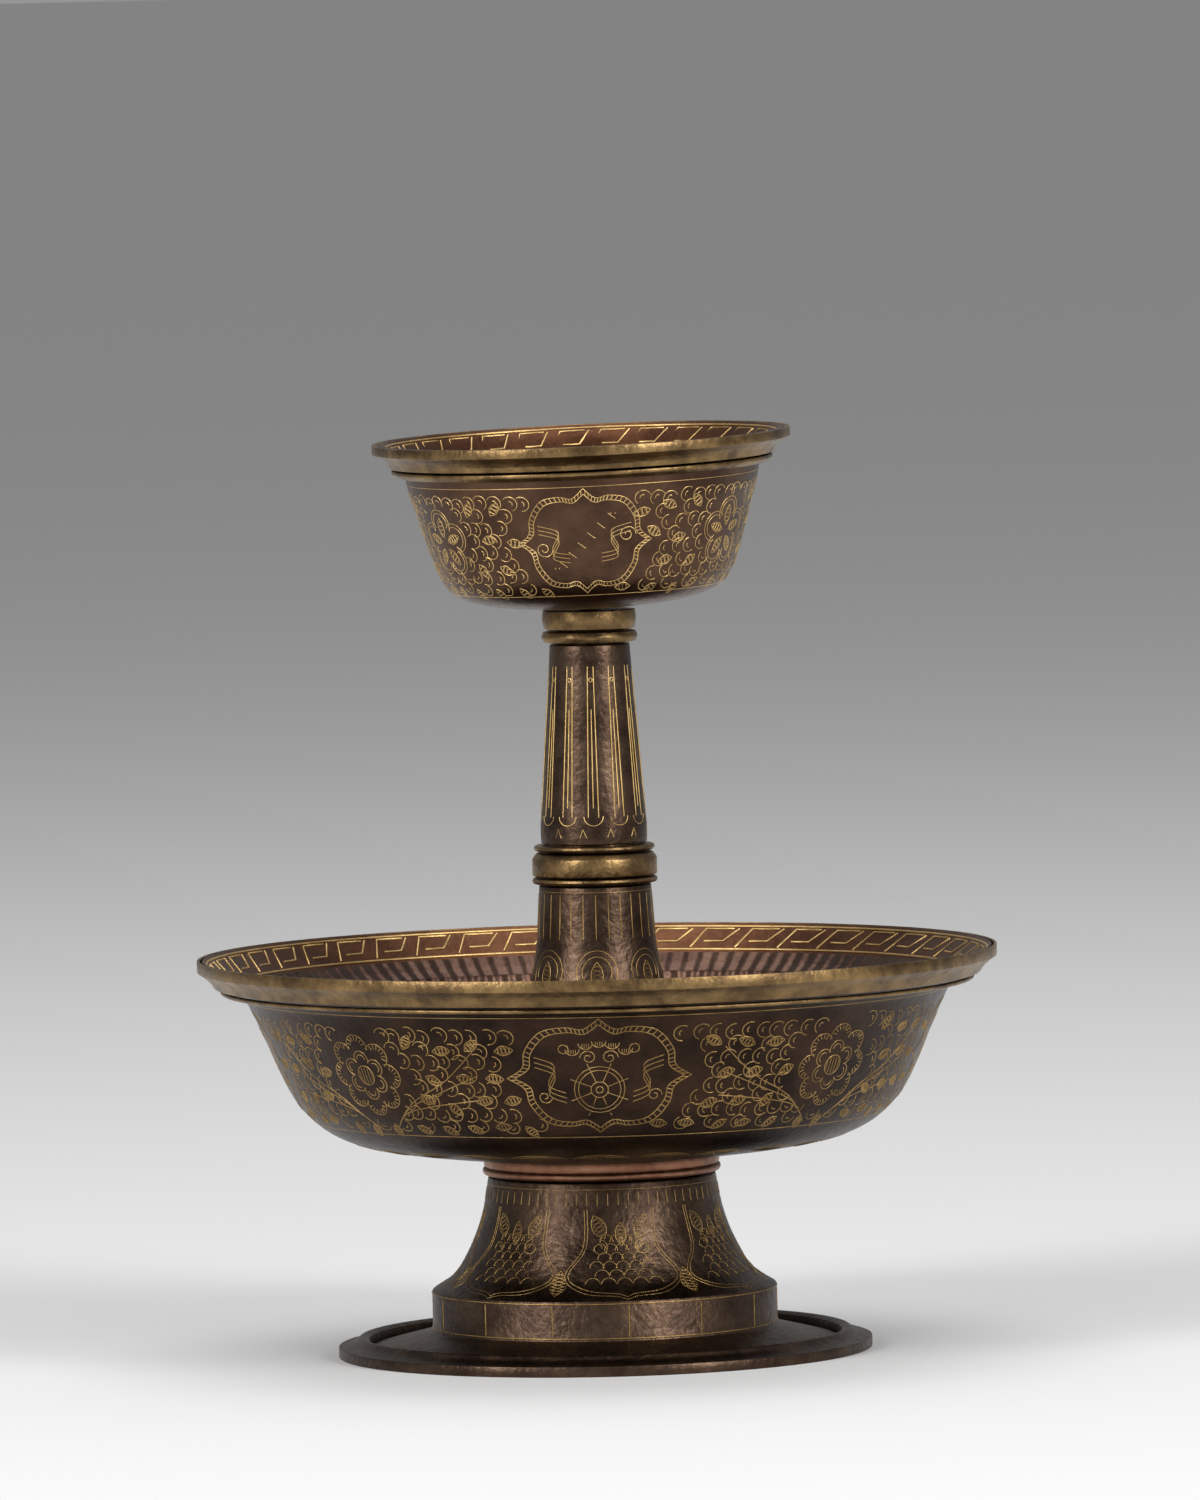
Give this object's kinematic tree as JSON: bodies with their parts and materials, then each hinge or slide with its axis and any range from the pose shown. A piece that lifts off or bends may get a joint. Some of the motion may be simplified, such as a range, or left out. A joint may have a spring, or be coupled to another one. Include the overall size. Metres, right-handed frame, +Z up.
{
  "type": "ritual offering cup",
  "caption": "Ritual offering goblet standing loose in a footed dish, chased dark copper with brass rims.",
  "frame": {"origin": "centre of the foot ring's underside, on the surface that the dish stands on", "axes": "+Z up along the goblet, -Y towards the viewer of the picture, +X to the right"},
  "size_m": [0.1302, 0.1302, 0.1504],
  "materials": {
    "dark_copper": "dark brown patina, chased lines bright",
    "brown_copper": "brown patina, satin",
    "red_copper": "worn reddish copper",
    "brass": "worn olive brass",
    "iron": "dull grey"
  },
  "bodies": {
    "dish": {"base_ring": "brown_copper", "foot_shell": "brown_copper", "foot_bead": "red_copper", "foot_neck_band": "red_copper", "dish_bowl": "dark_copper", "dish_rim_edge": "brass", "dish_ledge_bead": "brass"},
    "goblet": {"lower_stem": "brown_copper", "foot_plate": "red_copper", "knop_lower_bead": "brass", "knop_band": "brass", "knop_upper_bead": "brass", "upper_stem": "brown_copper", "neck_bead": "brass", "neck_collar": "brass", "cup_bowl": "brown_copper", "cup_rim_band": "brass", "cup_ledge_bead": "brass", "tie_rod_head": "brass", "tie_rod": "iron", "tie_rod_nut": "iron"}
  },
  "joints": [
    {"name": "goblet_lift", "type": "slide", "parent": "dish", "child": "goblet", "axis": [0, 0, 1], "range_m": [0, 0.045]}
  ]
}
